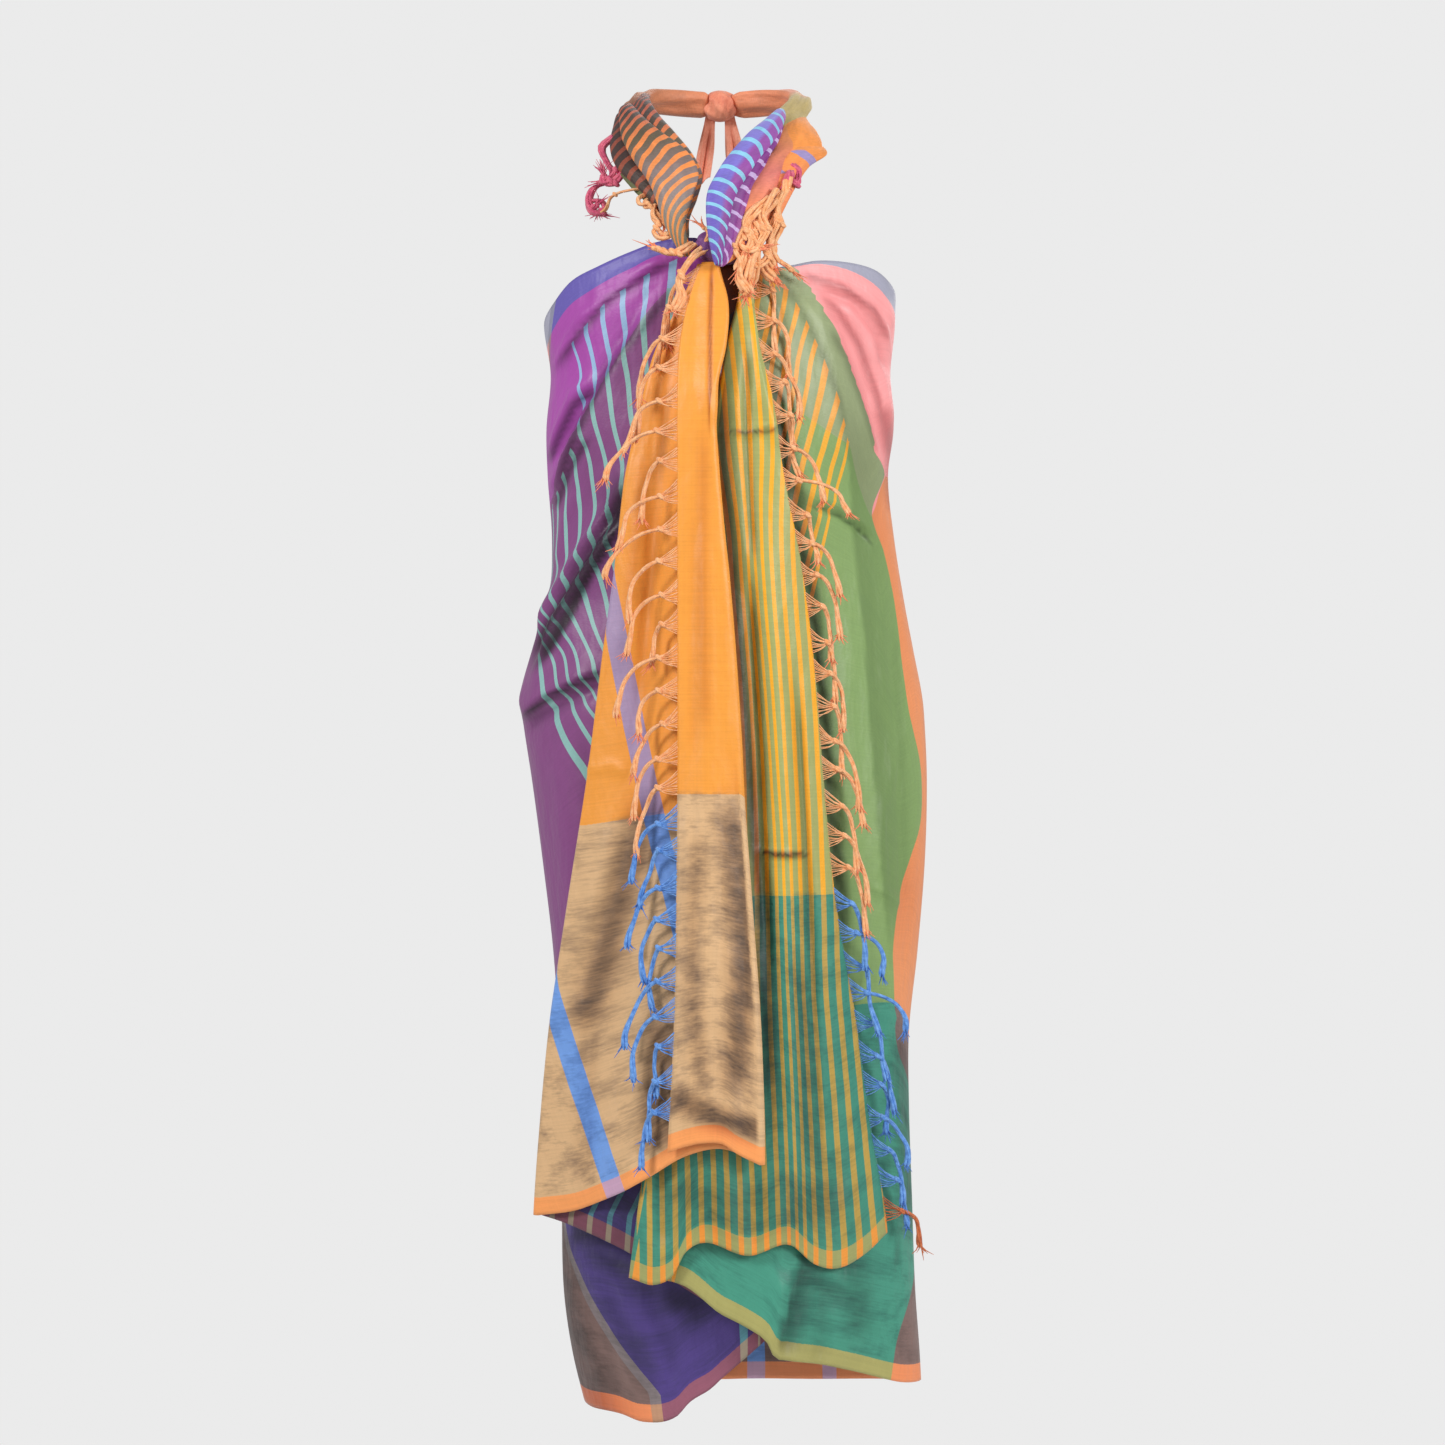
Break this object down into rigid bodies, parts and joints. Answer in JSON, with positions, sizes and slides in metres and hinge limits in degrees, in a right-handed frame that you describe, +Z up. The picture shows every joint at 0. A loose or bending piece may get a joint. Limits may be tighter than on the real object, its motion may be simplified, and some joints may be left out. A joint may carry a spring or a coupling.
{
  "type": "longyi sarong",
  "caption": "Striped longyi cloth with knotted fringes, wound round the body under the arms, its ends crossed at the chest and tied round the neck.",
  "frame": {"origin": "where the nape of the wearer's neck holds the loop: the inner face of the tie at the back of the neck", "axes": "+Z up, -Y the wearer's front, +X the wearer's left"},
  "size_m": [0.3805, 0.3011, 1.2496],
  "materials": {
    "coral_cloth": "soft sheen",
    "purple_cloth": "soft sheen",
    "green_cloth": "soft sheen",
    "orange_cloth": "soft sheen",
    "striped_cloth": "soft sheen",
    "olive_cloth": "soft sheen",
    "violet_cloth": "soft sheen",
    "fringe_yarn": "matt"
  },
  "bodies": {
    "root": {"back_wrap": "coral_cloth", "right_wrap": "purple_cloth", "left_wrap": "green_cloth", "right_end": "orange_cloth", "left_end": "striped_cloth", "right_neck_roll": "olive_cloth", "left_neck_roll": "violet_cloth", "chest_knot": "violet_cloth", "nape_knot": "coral_cloth", "right_tie_end": "coral_cloth", "left_tie_end": "coral_cloth", "right_end_fringe": "fringe_yarn", "left_end_fringe": "fringe_yarn", "right_neck_fringe": "fringe_yarn", "left_neck_fringe": "fringe_yarn"}
  },
  "joints": []
}
